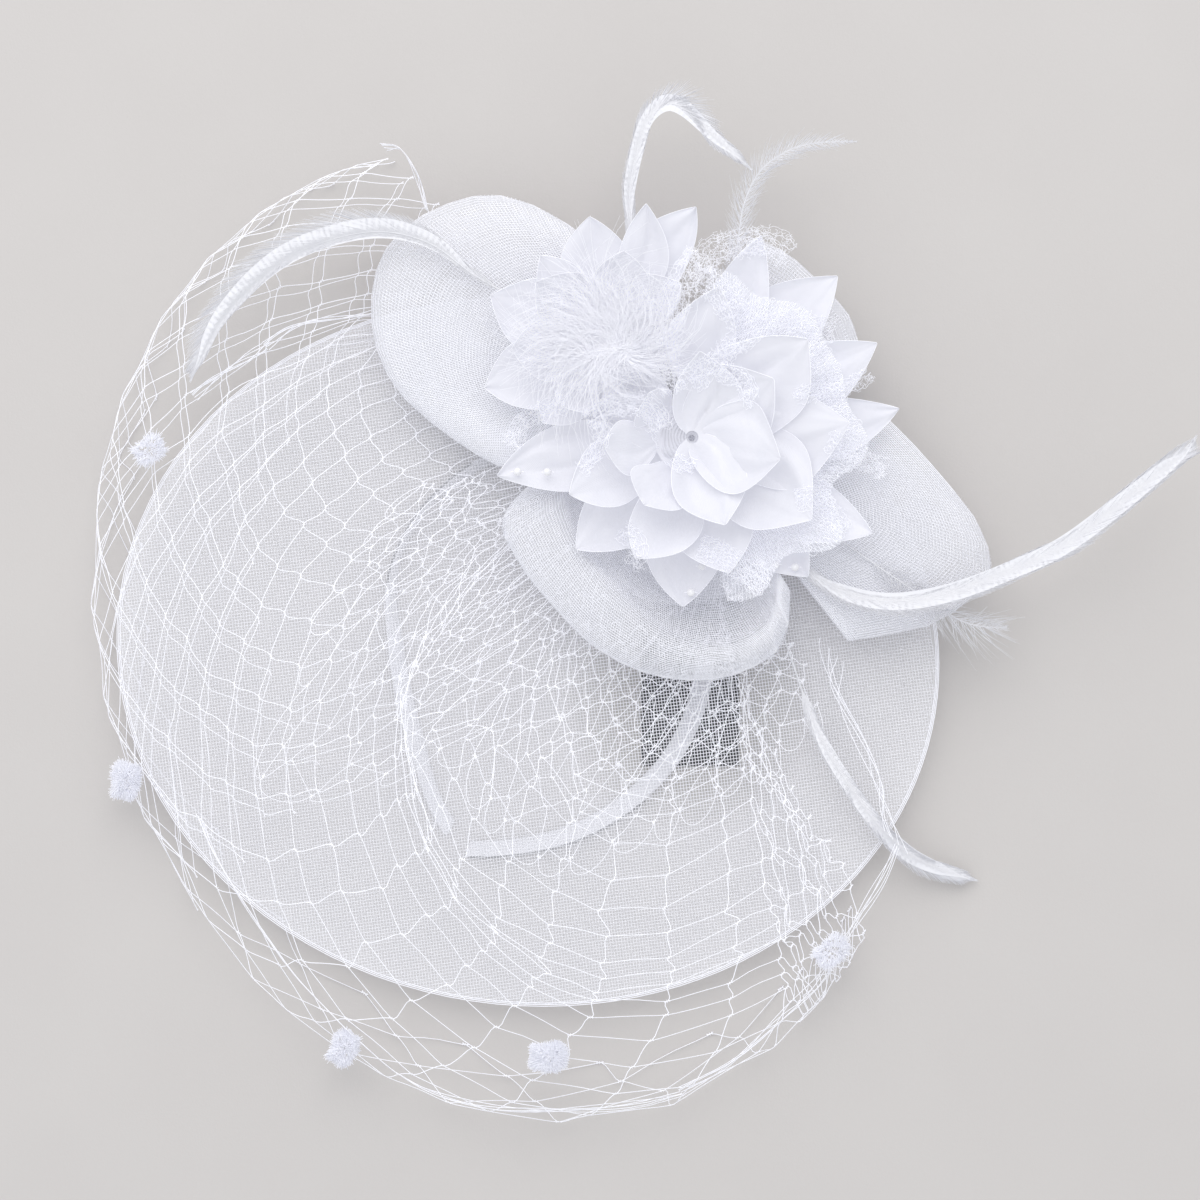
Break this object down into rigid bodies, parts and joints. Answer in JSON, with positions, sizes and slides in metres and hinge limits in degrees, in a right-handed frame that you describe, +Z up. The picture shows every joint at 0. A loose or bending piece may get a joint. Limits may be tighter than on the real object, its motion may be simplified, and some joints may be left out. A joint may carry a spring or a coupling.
{
  "type": "fascinator",
  "caption": "Crinoline disc fascinator with looped crinoline, cloth flowers, feathers, pearls and a dotted diamond net veil on a ribbon headband and a hair clip.",
  "frame": {"origin": "middle of the clip's flat underside, on the surface that the fascinator lies on", "axes": "+Z up from the surface, through the flowers; +X along the longest side, towards the long right feather; +Y towards the flowers"},
  "size_m": [0.3916, 0.3656, 0.0644],
  "materials": {
    "lacquer": "black lacquer on a bent steel sheet",
    "felt": "white felt",
    "ribbon": "white satin ribbon wound round a strip",
    "crinoline": "sheer white crinoline mesh",
    "net": "white diamond veil net",
    "chenille": "white chenille pile",
    "satin": "white satin and organza cloth",
    "tulle": "white tulle",
    "feather": "white feather barbs",
    "pearl": "glossy pearl"
  },
  "bodies": {
    "root": {"hair_clip": "lacquer", "headband": "ribbon", "base_disc": "felt", "crin_disc": "crinoline", "veil_net": "net", "veil_dot_1": "chenille", "veil_dot_2": "chenille", "veil_dot_3": "chenille", "veil_dot_4": "chenille", "veil_dot_5": "chenille", "crin_loop_upper_left": "crinoline", "crin_loop_lower": "crinoline", "crin_loop_right": "crinoline", "crin_loop_top": "crinoline", "flower_core_front": "satin", "flower_core_back": "satin", "front_petals_lower": "satin", "front_tulle_frill": "tulle", "front_petals_middle": "satin", "front_petals_upper": "satin", "back_petals_lower": "satin", "back_petals_upper": "satin", "feather_fluff": "feather", "feather_left": "feather", "feather_top_curl": "feather", "feather_top_fluffy": "feather", "feather_right": "feather", "feather_lower": "feather", "feather_right_fluffy": "feather", "pearl_1": "pearl", "pearl_2": "pearl", "pearl_3": "pearl", "pearl_4": "pearl", "pearl_5": "pearl", "pearl_6": "pearl", "pearl_7": "pearl", "pearl_8": "pearl"}
  },
  "joints": []
}
